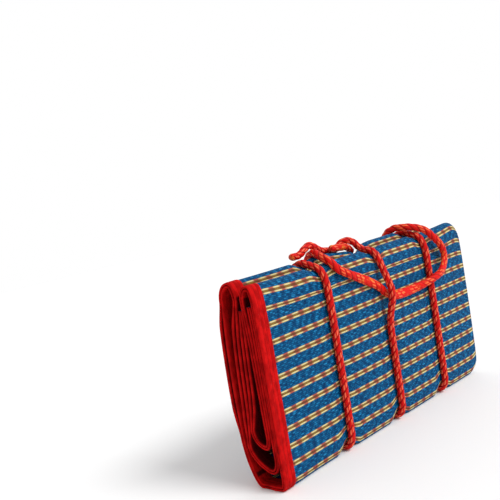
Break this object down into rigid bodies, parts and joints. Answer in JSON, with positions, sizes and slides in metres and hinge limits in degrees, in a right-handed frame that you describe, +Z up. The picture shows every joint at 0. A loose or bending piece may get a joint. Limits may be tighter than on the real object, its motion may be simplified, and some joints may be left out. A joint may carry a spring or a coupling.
{
  "type": "folded woven floor mat",
  "caption": "Woven plastic-straw floor mat folded to a flat bundle, its ends bound with tape, tied round with cord and standing on its long fold.",
  "frame": {"origin": "on the floor, under the middle of the bundle and its left and right ties", "axes": "+X along the bundle from the bound end to the folded end, +Y from its front face to its back, +Z up"},
  "size_m": [0.6138, 0.1201, 0.3488],
  "materials": {
    "woven_straw": "woven plastic straw, blue with dashed pale yellow and red-brown stripes, low sheen",
    "binding_tape": "red woven tape with stitch lines",
    "tie_cord": "red twisted cord with orange flecks",
    "handle_cord": "red soft twisted cord with orange flecks"
  },
  "bodies": {
    "root": {"mat_sheet": "woven_straw", "edge_tape_outer": "binding_tape", "edge_tape_inner": "binding_tape", "tie_left": "tie_cord", "tie_middle": "tie_cord", "tie_right": "tie_cord", "carry_cord": "handle_cord"}
  },
  "joints": []
}
